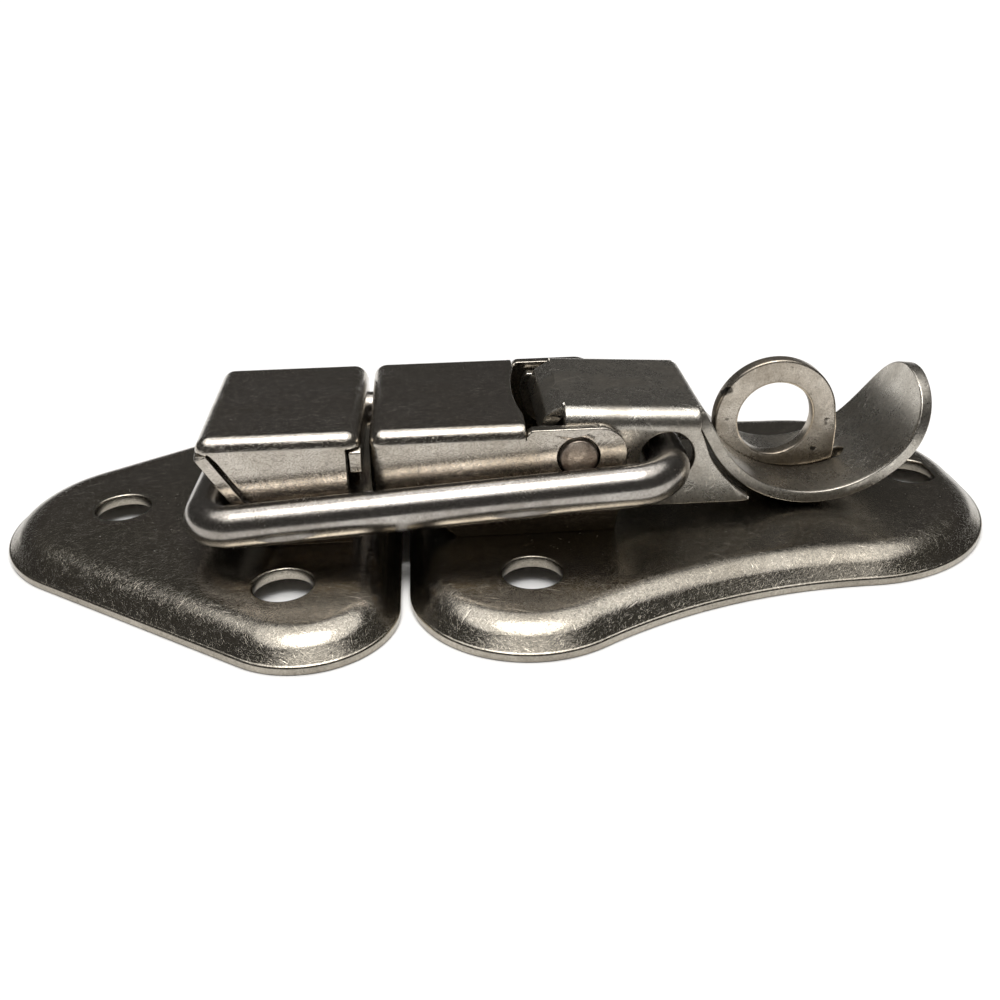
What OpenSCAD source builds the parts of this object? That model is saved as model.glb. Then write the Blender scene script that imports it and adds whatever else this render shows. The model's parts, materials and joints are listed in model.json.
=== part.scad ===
// Toggle bolt latch: a keeper half with a hook, and a latch half with an over-centre lever, a wire
// link and a padlock eye. Millimetres, +Z up, standing on Z = 0 and centred on the two plates.
// X runs along the latch, from the keeper to the padlock eye.

/* [Plates] */
// Length of the keeper plate
keeper_len = 51.4; // [46:0.1:70]
// Length of the latch plate
latch_len = 76; // [72:0.1:100]
// Width of both plates
plate_w = 69.4; // [62:0.1:90]
// Gap between the two plates with the latch closed
plate_gap = 1; // [0.4:0.1:4]
// Height of the flat tops above the mounting surface
plate_h = 3.6; // [3.4:0.1:5]
// Thickness of the plate steel
plate_t = 1.6; // [1:0.1:1.8]
// Slope of the rim, in degrees from the horizontal
rim_slope = 42; // [30:1:60]
// Radius of the shoulder between rim and flat top
shoulder_r = 5; // [2:0.1:6]
// Height of the cut edge at the foot of the rim
rim_edge = 0.9; // [0.5:0.1:1.2]
// Corner radius of the keeper plate
keeper_corner_r = 11.1; // [8:0.1:16]
// Radius of the keeper plate's rounded point
keeper_point_r = 17.3; // [12:0.1:20]
// Corner radius of the latch plate
latch_corner_r = 14.1; // [8:0.1:16]
// Radius of the latch plate's round end
lobe_r = 20.9; // [16:0.1:24]
// Width across the latch plate's round end
lobe_w = 45.8; // [42:0.1:60]
// Radius of the hollow waist between corners and round end
waist_r = 64; // [50:1:90]

/* [Screw holes] */
// Diameter of the screw holes
screw_d = 7.1; // [4:0.1:8]
// Spacing across the latch of the corner screws
screw_w = 43.4; // [40:0.1:50]
// Distance of the keeper's corner screws from the gap's middle
keeper_screw_x = 14; // [11:0.1:20]
// Distance of the latch plate's corner screws from the gap's middle
latch_screw_x = 15; // [12:0.1:24]
// Distance of the pointed end's screw from the keeper plate's outer end
end_screw_in_keeper = 14.6; // [10:0.1:18]
// Distance of the round end's screw from the latch plate's outer end
end_screw_in_latch = 7.9; // [7.6:0.1:12]

/* [Hook and housing] */
// Outer width of the hook and the housing
box_w = 25.2; // [22:0.1:32]
// Height of their tops above the mounting surface
box_h = 17.9; // [16:0.1:24]
// Thickness of their steel
box_t = 1.5; // [1:0.1:1.8]
// Outer radius of their folded edges
fold_r = 1.8; // [1.8:0.1:2.4]
// Distance of the hook's right face from the gap's middle
hook_gap = 4.5; // [3:0.1:8]
// Length of the hook's top
hook_len = 19.7; // [17:0.1:26]
// Lean of the hook's catching face, in degrees from the vertical
catch_lean = 28; // [20:1:32]
// Distance that the housing hangs over the gap's middle
housing_over = 3.6; // [1:0.1:4]
// Length of the housing's top
housing_len = 18.8; // [16:0.1:20]
// Depth of the hook's end flap below its top
end_flap_h = 4.8; // [4:0.1:8]
// Width of the feet folded inwards under the walls
foot_w = 7.4; // [7.3:0.1:8]
// Diameter of the rivets in the feet
rivet_d = 3.2; // [2:0.1:4]
// Diameter of the rivets' heads
rivet_head_d = 5.6; // [4.6:0.1:6]
// Thickness of the rivets' heads
rivet_head_h = 1.1; // [0.8:0.1:1.4]
// Seam between walls and flaps that meet at a corner
seam = 0.25; // [0.2:0.05:0.6]

/* [Lever] */
// Distance of the pivot from the gap's middle
pivot_x = 21.5; // [21:0.1:26]
// Height of the pivot above the mounting surface
pivot_z = 13.8; // [13:0.1:14]
// Diameter of the pivot rivet
pivot_d = 3.4; // [3:0.1:4]
// Diameter of the pivot rivet's heads
pivot_head_d = 4.6; // [4.4:0.1:7]
// Thickness of the pivot rivet's heads outside the ears
pivot_head_h = 0.5; // [0.3:0.1:0.6]
// Radius of the ears' round ends about the pivot
ear_r = 5.9; // [5.6:0.1:7.8]
// Gap on each side between the lever and the ears
side_gap = 0.7; // [0.3:0.1:1.2]
// Thickness of the lever's steel
lever_t = 1.5; // [1:0.1:1.8]
// Outer radius of the lever's rolled sides
roll_r = 2.4; // [1.8:0.1:2.6]
// Dip of the closed lever's top towards the tongue, in degrees
lever_dip = 3.3; // [0:0.1:5]
// Height of the lever's top above the pivot
lever_top = 5; // [5:0.1:6]
// Slope of the tongue's straight part, in degrees
tongue_slope = 58; // [50:1:62]
// Radius of the tongue's curl, on its underside
tongue_r = 15.5; // [13:0.1:17]
// Sweep of the curl past its lowest point, in degrees
tongue_sweep = 90; // [70:1:100]
// Width of the tongue
tongue_w = 18.2; // [14:0.1:18.6]
// Distance from the pivot down to the tongue's lowest point
tongue_drop = 7.8; // [7:0.1:8.2]
// Distance from the pivot to the tongue's lowest point, along the latch
tongue_reach = 30.4; // [29:0.1:34]
// Drop of the side walls' bottom edge below the pivot
wall_drop = 8.2; // [7.6:0.1:8.6]

/* [Link] */
// Diameter of the link's wire
wire_d = 5.2; // [4:0.1:5.6]
// Gap between the crossbar and the hook's catching face
catch_gap = 0.9; // [0.8:0.05:1.2]
// Distance of the link's hinge from the pivot, along the latch
hinge_x = 11.3; // [11:0.1:12]
// Drop of the link's hinge below the pivot
hinge_drop = 2.1; // [1.7:0.1:2.4]
// Slope of the closed link, in degrees
link_slope = 3.6; // [2:0.1:6]
// Gap on each side between the link and the pivot rivet's heads
link_gap = 0.4; // [0.3:0.1:1]
// Play of the link's wire in the lever's holes
link_hole_play = 1.6; // [1:0.1:2]
// Radius of the link's corners beside the crossbar, at the wire's middle
link_corner_r = 4.2; // [4:0.1:4.8]
// Radius of the link's corners beside the hinge, at the wire's middle
link_turn_r = 5.4; // [3:0.1:5.6]
// Depth that the wire's ends reach past the lever's sides
link_end_in = 3; // [2:0.1:5]

/* [Padlock eye] */
// Thickness of the eye
eye_t = 2; // [1.5:0.1:3]
// Outer diameter of the eye
eye_d = 16.2; // [14:0.1:18]
// Diameter of the padlock hole
eye_hole_d = 10; // [6:0.1:11]
// Distance of the eye's middle from the gap's middle
eye_x = 49.1; // [48:0.1:52]
// Height of the padlock hole's middle
eye_z = 12.6; // [11:0.1:14]
// Gap on each side between the eye and the tongue's slot
slot_gap = 0.4; // [0.3:0.1:1]

/* [Hidden] */
press = 0.02;
// Gap between the foot rivets' heads and the walls beside them
rivet_gap = 0.15;
round_fn = 64;
steel = "#8d8983";
dark_steel = "#5d5b55";
wire_steel = "#a9a6a1";

// The gap's middle lies off the origin because the two plates differ in length
seam_x = keeper_len + plate_gap / 2 - (keeper_len + plate_gap + latch_len) / 2;
half_w = plate_w / 2;
under_h = plate_h - plate_t;

// Rim: where the slope would meet the flat, and how far in the flat starts
slope_run = (plate_h - rim_edge) / tan(rim_slope);
shoulder_run = shoulder_r * tan(rim_slope / 2);
rim_w = slope_run + shoulder_run;
rim_t_run = plate_t / sin(rim_slope);
cavity_foot = rim_t_run - rim_edge / tan(rim_slope);
cavity_run = cavity_foot + under_h / tan(rim_slope);

keeper_end_x = seam_x - plate_gap / 2 - keeper_len;
latch_end_x = seam_x + plate_gap / 2 + latch_len;
keeper_corner_x = seam_x - plate_gap / 2 - keeper_corner_r;
latch_corner_x = seam_x + plate_gap / 2 + latch_corner_r;
keeper_corner_y = half_w - keeper_corner_r;
latch_corner_y = half_w - latch_corner_r;
keeper_point_x = keeper_end_x + keeper_point_r;
lobe_x = latch_end_x - lobe_r;
lobe_y = lobe_w / 2 - lobe_r;

// Centre of the waist arc, which touches a corner circle and a lobe circle
waist_dx = lobe_x - latch_corner_x;
waist_dy = latch_corner_y - lobe_y;
waist_d = sqrt(waist_dx * waist_dx + waist_dy * waist_dy);
waist_a = latch_corner_r + waist_r;
waist_b = lobe_r + waist_r;
waist_along = (waist_d * waist_d + waist_a * waist_a - waist_b * waist_b) / (2 * waist_d);
waist_up = sqrt(waist_a * waist_a - waist_along * waist_along);
waist_x = latch_corner_x + (waist_dx * waist_along + waist_dy * waist_up) / waist_d;
waist_y = latch_corner_y + (waist_dx * waist_up - waist_dy * waist_along) / waist_d;

// Hook and housing
box_half = box_w / 2;
flat_half = box_half - fold_r;
hook_r = seam_x - hook_gap;
hook_l = hook_r - hook_len;
housing_l = seam_x - housing_over;
housing_r = housing_l + housing_len;
foot_top = plate_h + box_t;
rivet_y = box_half - box_t - rivet_gap - rivet_head_d / 2;
catch_top = 1.6;
catch_t_run = box_t / cos(catch_lean);
feet_in = 1.2;
hook_foot_l = wall_start_x(box_h - plate_h);
hook_foot_r = hook_r - box_t - seam;

// Pivot and housing feet
px = seam_x + pivot_x;
pz = pivot_z;
ear_end_x = px + ear_r;
housing_foot_l = seam_x + plate_gap / 2 + rim_w + feet_in;
housing_foot_r = ear_end_x - feet_in;

// Rivets: one in each foot of the hook, two in each foot of the housing
hook_rivet_x = (hook_foot_l + hook_foot_r) / 2;
housing_rivet_l = housing_foot_l + rivet_head_d / 2;
housing_rivet_r = housing_foot_r - rivet_head_d / 2;
hook_rivets = [[hook_rivet_x, -rivet_y], [hook_rivet_x, rivet_y]];
housing_rivets = [for (x = [housing_rivet_l, housing_rivet_r]) for (s = [-1, 1]) [x, s * rivet_y]];

// Lever, in its own frame: origin on the pivot, top level
lever_half = box_half - box_t - side_gap;
lever_flat = lever_half - roll_r;
pivot_run = 0.05;
flap_slope = 35;
flap_steep = 68;
flap_run_1 = 2.6;
flap_run_2 = 2.2;
flap_x = -1.6;
wall_back = 5.2;
top_in = lever_top - lever_t;
slope_in = tan(tongue_slope / 2) * lever_t;
wall_gap = 0.6;
curl_x = tongue_reach;
curl_z = tongue_r - tongue_drop;
curl_in = tongue_r - lever_t;
// Foot of the straight part, on the underside, where the curl starts
curl_start_x = curl_x - tongue_r * sin(tongue_slope);
curl_start_z = curl_z - tongue_r * cos(tongue_slope);
// The straight part meets the top's underside here
dive_x = curl_start_x - (top_in - curl_start_z) / tan(tongue_slope);
tongue_half = tongue_w / 2;
tongue_tip_z = curl_z - tongue_r * cos(tongue_sweep);
spoon_z = tongue_tip_z - tongue_half;

// Link, in its own frame: origin on the hinge, crossbar at X = -link_len
hx = px + hinge_x;
hz = pz - hinge_drop;
wire_r = wire_d / 2;
link_half = box_half + pivot_head_h + link_gap + wire_r;
corner_y = link_half - link_corner_r;
link_hole_d = wire_d + link_hole_play;
link_hole_up = link_hole_play / 2 - 0.35;
// The closed link just clears the catching face, so its length follows from the hook's place
catch_reach = hx - hook_l - (box_h - hz - catch_top) * tan(catch_lean) + (wire_r + catch_gap) / cos(catch_lean);
link_len = catch_reach / (cos(link_slope) + sin(link_slope) * tan(catch_lean));

// Padlock eye and the slot that clears it while the lever turns
ex = seam_x + eye_x;
eye_r = eye_d / 2;
neck_l = ex - 2;
neck_r = ex + eye_r + 0.3;
tenon_in = 1.5;
tenon_gap = 0.02;
peen_h = 1.2;
peen_over = 1.1;
slot_w = eye_t + 2 * slot_gap;
slot_hole_d = slot_w - 0.4;
eye_near = ex - eye_r - px - 1;
eye_reach = sqrt(pow(neck_r - px, 2) + pow(pz - plate_h, 2)) + slot_gap;
slot_end = eye_reach - slot_hole_d / 2;

// Left end of the hook's walls at a drop below its top, beside the leaning face
function catch_x(drop) = hook_l + (drop - catch_top) * tan(catch_lean);
function wall_start_x(drop) = catch_x(drop) + catch_t_run + seam;

// A point at (x, z) from the pivot of the closed lever, in the lever's own frame
function undip(x, z) =
    [x * cos(lever_dip) - z * sin(lever_dip), x * sin(lever_dip) + z * cos(lever_dip)];

// Points of an arc about (x, y) from angle a to angle b
function arc(x, y, r, a, b, n = 12) =
    [for (i = [0:n]) [x + r * cos(a + (b - a) * i / n), y + r * sin(a + (b - a) * i / n)]];

// Section of a plate's outer surface at a corner of radius r: axis, foot, slope, shoulder, flat
function rim_outer(r) = concat(
    [[0, 0], [r, 0], [r, rim_edge]],
    arc(r - rim_w, plate_h - shoulder_r, shoulder_r, 90 - rim_slope, 90, 6),
    [[0, plate_h]]
);

// Section of the hollow under a plate at a corner of radius r
function rim_inner(r) = [
    [0, -1], [r - cavity_foot + 1 / tan(rim_slope), -1], [r - cavity_run, under_h], [0, under_h]
];

// What the hollow waist takes away outside a plate's surface, about the waist's centre
function waist_outer(r) = concat(
    [[0, -1], [r, -1], [r, rim_edge]],
    [for (p = arc(0, plate_h - shoulder_r, shoulder_r, 90 - rim_slope, 90, 6)) [r + rim_w - p[0], p[1]]],
    [[r + rim_w, plate_h + 1], [0, plate_h + 1]]
);

// The same for the hollow under the plate
function waist_inner(r) = [
    [0, -2], [r + cavity_foot - 2 / tan(rim_slope), -2], [r + cavity_run, under_h],
    [r + cavity_run, under_h + 1], [0, under_h + 1]
];

module button(x, y, r, hollow) {
    translate([x, y, 0]) rotate_extrude($fn = round_fn) polygon(hollow ? rim_inner(r) : rim_outer(r));
}

module keeper_form(hollow) {
    hull() {
        button(keeper_corner_x, keeper_corner_y, keeper_corner_r, hollow);
        button(keeper_corner_x, -keeper_corner_y, keeper_corner_r, hollow);
        button(keeper_point_x, 0, keeper_point_r, hollow);
    }
}

module latch_form(hollow) {
    difference() {
        hull() {
            for (s = [-1, 1]) {
                button(latch_corner_x, s * latch_corner_y, latch_corner_r, hollow);
                button(lobe_x, s * lobe_y, lobe_r, hollow);
            }
        }
        for (s = [-1, 1])
            translate([waist_x, s * waist_y, 0]) rotate_extrude($fn = 256)
                polygon(hollow ? waist_inner(waist_r) : waist_outer(waist_r));
    }
}

module screw_hole(x, y) {
    translate([x, y, -1]) cylinder(d = screw_d, h = plate_h + 2, $fn = round_fn);
}

module keeper_plate() {
    color(dark_steel) difference() {
        keeper_form(false);
        keeper_form(true);
        for (s = [-1, 1]) screw_hole(seam_x - keeper_screw_x, s * screw_w / 2);
        screw_hole(keeper_end_x + end_screw_in_keeper, 0);
        for (p = hook_rivets) rivet_bore(p);
    }
}

module latch_plate() {
    color(dark_steel) difference() {
        latch_form(false);
        latch_form(true);
        for (s = [-1, 1]) screw_hole(seam_x + latch_screw_x, s * screw_w / 2);
        screw_hole(latch_end_x - end_screw_in_latch, 0);
        for (p = housing_rivets) rivet_bore(p);
        tenon(tenon_gap, under_h - 1, plate_h + 1);
    }
}

// Rivets through a foot and its plate; each has a head above the foot and one under the plate
module rivet_bore(p) {
    translate([p[0], p[1], 0]) cylinder(d = rivet_d + 2 * press, h = foot_top + 1, $fn = 32);
}

module rivet(p) {
    color(steel) translate([p[0], p[1], 0]) rotate_extrude($fn = 48) polygon([
        [0, under_h - rivet_head_h], [rivet_head_d / 2 - 0.4, under_h - rivet_head_h],
        [rivet_head_d / 2, under_h - rivet_head_h + 0.4], [rivet_head_d / 2, under_h],
        [rivet_d / 2, under_h], [rivet_d / 2, foot_top], [rivet_head_d / 2, foot_top],
        [rivet_head_d / 2, foot_top + rivet_head_h - 0.4],
        [rivet_head_d / 2 - 0.4, foot_top + rivet_head_h], [0, foot_top + rivet_head_h]
    ]);
}

// A solid made by sweeping a side view (X, Z) across the latch from y0 to y1
module across(y0, y1) {
    translate([0, y1, 0]) rotate([90, 0, 0]) linear_extrude(y1 - y0) children();
}

// Quarter-round folded edge along the top of a wall on side s
module long_fold(x0, x1, s) {
    translate([x0, s * flat_half, box_h - fold_r]) rotate([90, 0, 90]) linear_extrude(x1 - x0)
        intersection() {
            difference() {
                circle(r = fold_r, $fn = 48);
                circle(r = fold_r - box_t, $fn = 48);
            }
            translate([s > 0 ? 0 : -fold_r, 0]) square([fold_r, fold_r]);
        }
}

// Wall of the hook or housing on side s, from its side view
module wall(s) {
    across(s > 0 ? box_half - box_t : -box_half, s > 0 ? box_half : -box_half + box_t) children();
}

// Foot folded inwards along the bottom of a wall on side s
module foot(x0, x1, s) {
    translate([x0, s > 0 ? box_half - foot_w : -box_half, plate_h]) cube([x1 - x0, foot_w, box_t]);
}

module keeper_hook() {
    color(steel) difference() {
        union() {
            // Top, with its two round end folds and its end flap
            across(-flat_half, flat_half) polygon(concat(
                arc(hook_l + fold_r, box_h - fold_r, fold_r, 180 + catch_lean, 90),
                arc(hook_r - fold_r, box_h - fold_r, fold_r, 90, 0),
                [[hook_r, box_h - end_flap_h], [hook_r - box_t, box_h - end_flap_h]],
                arc(hook_r - fold_r, box_h - fold_r, fold_r - box_t, 0, 90),
                arc(hook_l + fold_r, box_h - fold_r, fold_r - box_t, 90, 180 + catch_lean)
            ));
            // Catching face, leaning in under the top
            across(-box_half, box_half) polygon([
                [catch_x(catch_top), box_h - catch_top], [catch_x(box_h - plate_h), plate_h],
                [catch_x(box_h - plate_h) + catch_t_run, plate_h],
                [catch_x(catch_top) + catch_t_run, box_h - catch_top]
            ]);
            // End flap at its full width, below the fold
            translate([hook_r - box_t, -box_half, box_h - end_flap_h])
                cube([box_t, box_w, end_flap_h - fold_r]);
            for (s = [-1, 1]) {
                long_fold(wall_start_x(fold_r), hook_r - fold_r, s);
                wall(s) polygon([
                    [wall_start_x(fold_r), box_h - fold_r], [hook_foot_r, box_h - fold_r],
                    [hook_foot_r, plate_h], [hook_foot_l, plate_h]
                ]);
                foot(hook_foot_l, hook_foot_r, s);
            }
        }
        for (p = hook_rivets) rivet_bore(p);
    }
}

module housing() {
    top_cut_r = 40;
    color(steel) difference() {
        union() {
            // Top, with its round end fold and its end wall
            across(-flat_half, flat_half) polygon(concat(
                [[housing_r, box_h]],
                arc(housing_l + fold_r, box_h - fold_r, fold_r, 90, 180),
                [[housing_l, plate_h + 2], [housing_l + box_t, plate_h + 2]],
                arc(housing_l + fold_r, box_h - fold_r, fold_r - box_t, 180, 90),
                [[housing_r, box_h - box_t]]
            ));
            for (s = [-1, 1]) {
                long_fold(housing_l + fold_r, housing_r, s);
                wall(s) difference() {
                    polygon([
                        [housing_l + box_t / 2, box_h - fold_r], [housing_r, box_h - fold_r],
                        [housing_r + 1, box_h - 0.4], [px + 3, box_h - 0.4], [ear_end_x, pz + 1.6],
                        [ear_end_x, pz - 2], [ear_end_x - 1.5, plate_h],
                        [housing_foot_l, plate_h], [housing_foot_l - 2, plate_h + 1],
                        [housing_l + box_t / 2, plate_h + 1]
                    ]);
                    translate([px, pz]) circle(d = pivot_d + 2 * pivot_run, $fn = 48);
                }
                foot(housing_foot_l, housing_foot_r, s);
            }
        }
        // Shallow round cut in the top's open end
        translate([housing_r + top_cut_r - 0.8, 0, box_h - 2 * fold_r])
            cylinder(r = top_cut_r, h = 3 * fold_r, $fn = 180);
        for (p = housing_rivets) rivet_bore(p);
    }
}

// Stem of the eye where it passes through the plate
module tenon(gap, z0, z1) {
    translate([neck_l + tenon_in - gap, -eye_t / 2 - gap, z0])
        cube([neck_r - neck_l - 2 * tenon_in + 2 * gap, eye_t + 2 * gap, z1 - z0]);
}

module padlock_eye() {
    color(steel) {
        difference() {
            union() {
                translate([ex, eye_t / 2, eye_z]) rotate([90, 0, 0])
                    cylinder(r = eye_r, h = eye_t, $fn = 96);
                translate([neck_l, -eye_t / 2, plate_h]) cube([neck_r - neck_l, eye_t, eye_z - plate_h]);
                tenon(0, under_h - peen_h / 2, plate_h + 1);
                // Stem peened over under the plate
                translate([neck_l + tenon_in - peen_over, -eye_t / 2 - peen_over, under_h - peen_h])
                    cube([neck_r - neck_l - 2 * tenon_in + 2 * peen_over, eye_t + 2 * peen_over, peen_h]);
            }
            translate([ex, eye_t, eye_z]) rotate([90, 0, 0])
                cylinder(d = eye_hole_d, h = 2 * eye_t, $fn = 96);
        }
    }
}

module lever() {
    color(steel) translate([px, 0, pz]) rotate([0, lever_dip, 0]) difference() {
        union() {
            // Top between the rolled sides, with the flap folded down at the pivot end
            across(-lever_flat, lever_flat) polygon([
                [flap_x, lever_top], [dive_x + slope_in, lever_top], [dive_x, top_in], [flap_x + 0.5, top_in],
                [flap_x + 0.5 - flap_run_1 * cos(flap_slope), top_in - flap_run_1 * sin(flap_slope)],
                [flap_x + 0.5 - flap_run_1 * cos(flap_slope) - flap_run_2 * cos(flap_steep),
                    top_in - flap_run_1 * sin(flap_slope) - flap_run_2 * sin(flap_steep)],
                [flap_x - 0.9 - flap_run_1 * cos(flap_slope) - flap_run_2 * cos(flap_steep),
                    top_in + 0.6 - flap_run_1 * sin(flap_slope) - flap_run_2 * sin(flap_steep)],
                [flap_x - flap_run_1 * cos(flap_slope), lever_top - flap_run_1 * sin(flap_slope)]
            ]);
            // Tongue: a straight dive, then a curl up to a round end
            intersection() {
                across(-tongue_half, tongue_half) polygon(concat(
                    [[dive_x, top_in]],
                    arc(curl_x, curl_z, tongue_r, 270 - tongue_slope, 270 + tongue_sweep, 36),
                    arc(curl_x, curl_z, curl_in, 270 + tongue_sweep, 270 - tongue_slope, 36),
                    [[dive_x + slope_in, lever_top]]
                ));
                union() {
                    translate([curl_x, 0, spoon_z]) rotate([0, 90, 0])
                        cylinder(r = tongue_half, h = tongue_r + 2, $fn = 96);
                    translate([0, -tongue_half - 1, -tongue_drop - 1])
                        cube([curl_x + tongue_r + 1, tongue_w + 2, spoon_z + tongue_drop + 1]);
                    translate([0, -tongue_half - 1, -tongue_drop - 1])
                        cube([curl_x + 1, tongue_w + 2, lever_top + tongue_drop + 1]);
                }
            }
            for (s = [-1, 1]) {
                lever_roll(s);
                lever_side(s);
            }
        }
        // Bores for the pivot rivet and the larger holes for the link's wire
        across(-box_w, box_w) circle(d = pivot_d + 2 * pivot_run, $fn = 48);
        rotate([0, -lever_dip, 0]) translate([hinge_x, 0, -hinge_drop + link_hole_up])
            across(-box_w, box_w) circle(d = link_hole_d, $fn = 64);
        // Slot for the padlock eye, ending in a drilled hole
        translate([eye_near, -slot_w / 2, -tongue_drop - 2])
            cube([slot_end - eye_near, slot_w, tongue_drop + top_in]);
        translate([slot_end, 0, -tongue_drop - 2]) cylinder(d = slot_hole_d, h = tongue_drop, $fn = 48);
    }
}

module lever_roll(s) {
    translate([flap_x, s * lever_flat, lever_top - roll_r]) rotate([90, 0, 90])
        linear_extrude(dive_x + 0.3 - flap_x) intersection() {
            difference() {
                circle(r = roll_r, $fn = 48);
                circle(r = roll_r - lever_t, $fn = 48);
            }
            translate([s > 0 ? 0 : -roll_r, 0]) square([roll_r, roll_r]);
        }
}

// Side wall: round about the pivot, level along the bottom of the closed lever, and following the
// tongue at its far end
module lever_side(s) {
    edge_r = tongue_r + wall_gap;
    heel = undip(hinge_x - 2, -wall_drop);
    toe_a = 180 + asin((curl_z - undip(curl_start_x, -wall_drop)[1]) / edge_r);
    across(s > 0 ? lever_half - lever_t : -lever_half, s > 0 ? lever_half : -lever_half + lever_t)
        polygon(concat(
            [[flap_x, lever_top - roll_r]],
            arc(0, 0, wall_back, 150, 270, 24),
            [heel],
            arc(curl_x, curl_z, edge_r, toe_a, 270 - tongue_slope, 8),
            [[dive_x, top_in - wall_gap], [dive_x, lever_top - roll_r]]
        ));
}

module pivot_rivet() {
    head_y = box_half + pivot_head_h;
    color(steel) translate([px, 0, pz]) {
        across(-head_y, head_y) circle(d = pivot_d, $fn = 48);
        for (s = [-1, 1])
            across(s > 0 ? box_half : -head_y, s > 0 ? head_y : -box_half)
                circle(d = pivot_head_d, $fn = 48);
    }
}

// A quarter turn of wire of radius r about (x, y), starting at angle a
module wire_turn(x, y, r, a) {
    translate([x, y, 0]) rotate([0, 0, a]) rotate_extrude(angle = 90, $fn = 96)
        translate([r, 0]) circle(d = wire_d, $fn = 48);
}

module link() {
    end_y = lever_half - lever_t - link_end_in;
    color(wire_steel) translate([hx, 0, hz]) rotate([0, -link_slope, 0]) {
        for (s = [-1, 1]) {
            // Side run, corner beside the crossbar, turn beside the hinge, and the end in the lever
            translate([-link_len + link_corner_r, s * link_half, 0]) rotate([0, 90, 0])
                cylinder(d = wire_d, h = link_len - link_corner_r - link_turn_r, $fn = 48);
            wire_turn(-link_len + link_corner_r, s * corner_y, link_corner_r, s > 0 ? 90 : 180);
            wire_turn(-link_turn_r, s * (link_half - link_turn_r), link_turn_r, s > 0 ? 0 : 270);
            translate([0, s > 0 ? link_half - link_turn_r : -end_y, 0]) rotate([90, 0, 0])
                cylinder(d = wire_d, h = link_half - link_turn_r - end_y, $fn = 48);
        }
        translate([-link_len, corner_y, 0]) rotate([90, 0, 0])
            cylinder(d = wire_d, h = 2 * corner_y, $fn = 48);
    }
}

keeper_plate();
keeper_hook();
rivet(hook_rivets[0]);  // keeper_rivet_1
rivet(hook_rivets[1]);  // keeper_rivet_2
latch_plate();
housing();
rivet(housing_rivets[0]);  // housing_rivet_1
rivet(housing_rivets[1]);  // housing_rivet_2
rivet(housing_rivets[2]);  // housing_rivet_3
rivet(housing_rivets[3]);  // housing_rivet_4
padlock_eye();
lever();
pivot_rivet();
link();
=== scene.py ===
import json
import math

import bmesh
import bpy
import numpy as np
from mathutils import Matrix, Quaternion, Vector
from mathutils.geometry import delaunay_2d_cdt


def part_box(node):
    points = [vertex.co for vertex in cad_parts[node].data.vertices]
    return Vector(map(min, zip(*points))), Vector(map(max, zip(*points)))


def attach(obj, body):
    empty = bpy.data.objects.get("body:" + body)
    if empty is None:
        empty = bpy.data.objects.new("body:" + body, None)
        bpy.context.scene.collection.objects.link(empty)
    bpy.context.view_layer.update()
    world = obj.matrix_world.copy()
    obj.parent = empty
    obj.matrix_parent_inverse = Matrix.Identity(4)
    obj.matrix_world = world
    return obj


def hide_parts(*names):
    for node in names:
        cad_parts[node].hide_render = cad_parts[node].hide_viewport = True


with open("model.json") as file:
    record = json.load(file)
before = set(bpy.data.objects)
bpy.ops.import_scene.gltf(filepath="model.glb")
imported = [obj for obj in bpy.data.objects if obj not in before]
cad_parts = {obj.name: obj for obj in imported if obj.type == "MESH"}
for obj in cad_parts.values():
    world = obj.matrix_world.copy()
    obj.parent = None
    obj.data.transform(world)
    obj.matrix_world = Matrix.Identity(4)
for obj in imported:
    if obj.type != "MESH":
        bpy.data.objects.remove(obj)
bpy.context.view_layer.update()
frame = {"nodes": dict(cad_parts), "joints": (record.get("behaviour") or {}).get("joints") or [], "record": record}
mm = 0.001
print("frame loaded, nodes:", len(frame["nodes"]))

# shapes are worked out in millimetres and scaled once, in makePiece
meshing = {"weld": 0.004, "sliver": 1e-7, "bevelAngle": 38.0, "bevelSegments": 2, "normalWeight": 80}


def cadBox(node):
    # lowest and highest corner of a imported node, in millimetres
    low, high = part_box(node)
    return np.array(low) / mm, np.array(high) / mm


def placeOf(rows, name):
    # where the joint or mount of this name is, in millimetres
    return np.array(next(row for row in rows if row["name"] == name)["pos_m"]) / mm


def arc(cx, cy, r, start, end, steps):
    # points of a circle about (cx, cy), from one angle to another in degrees
    a = np.radians(np.linspace(start, end, steps + 1))
    return np.stack([cx + r * np.cos(a), cy + r * np.sin(a)], 1)


def chain(*parts):
    # several runs of points as one, without points that repeat
    run = np.concatenate([np.atleast_2d(np.array(p, float)) for p in parts])
    far = np.linalg.norm(np.diff(run, axis=0), axis=1) > 1e-4
    return run[np.concatenate([[True], far])]


def unit(vectors):
    # each row at length one
    return vectors / np.linalg.norm(vectors, axis=1)[:, None]


def spread(x, y, z):
    # three coordinates, each a number, a row, a column or a grid, as one grid of points
    return np.stack(np.broadcast_arrays(x, y, z), -1)


def gridSurface(points):
    # a rows x columns grid of points, joined to its neighbours by quads
    rows, cols = points.shape[:2]
    index = np.arange(rows * cols).reshape(rows, cols)
    quads = np.stack([index[:-1, :-1], index[:-1, 1:], index[1:, 1:], index[1:, :-1]], -1)
    return points.reshape(-1, 3), quads.reshape(-1, 4).tolist()


def insideLoop(loop, points):
    # even-odd rule: which points lie inside a closed loop
    x, y = points[:, :1], points[:, 1:2]
    ax, ay = loop[:, 0], loop[:, 1]
    bx, by = np.roll(ax, -1), np.roll(ay, -1)
    rise = np.where(np.abs(by - ay) < 1e-9, 1e-9, by - ay)
    crossing = ((ay > y) != (by > y)) & (x < (bx - ax) * (y - ay) / rise + ax)
    return crossing.sum(1) % 2 == 1


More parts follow.
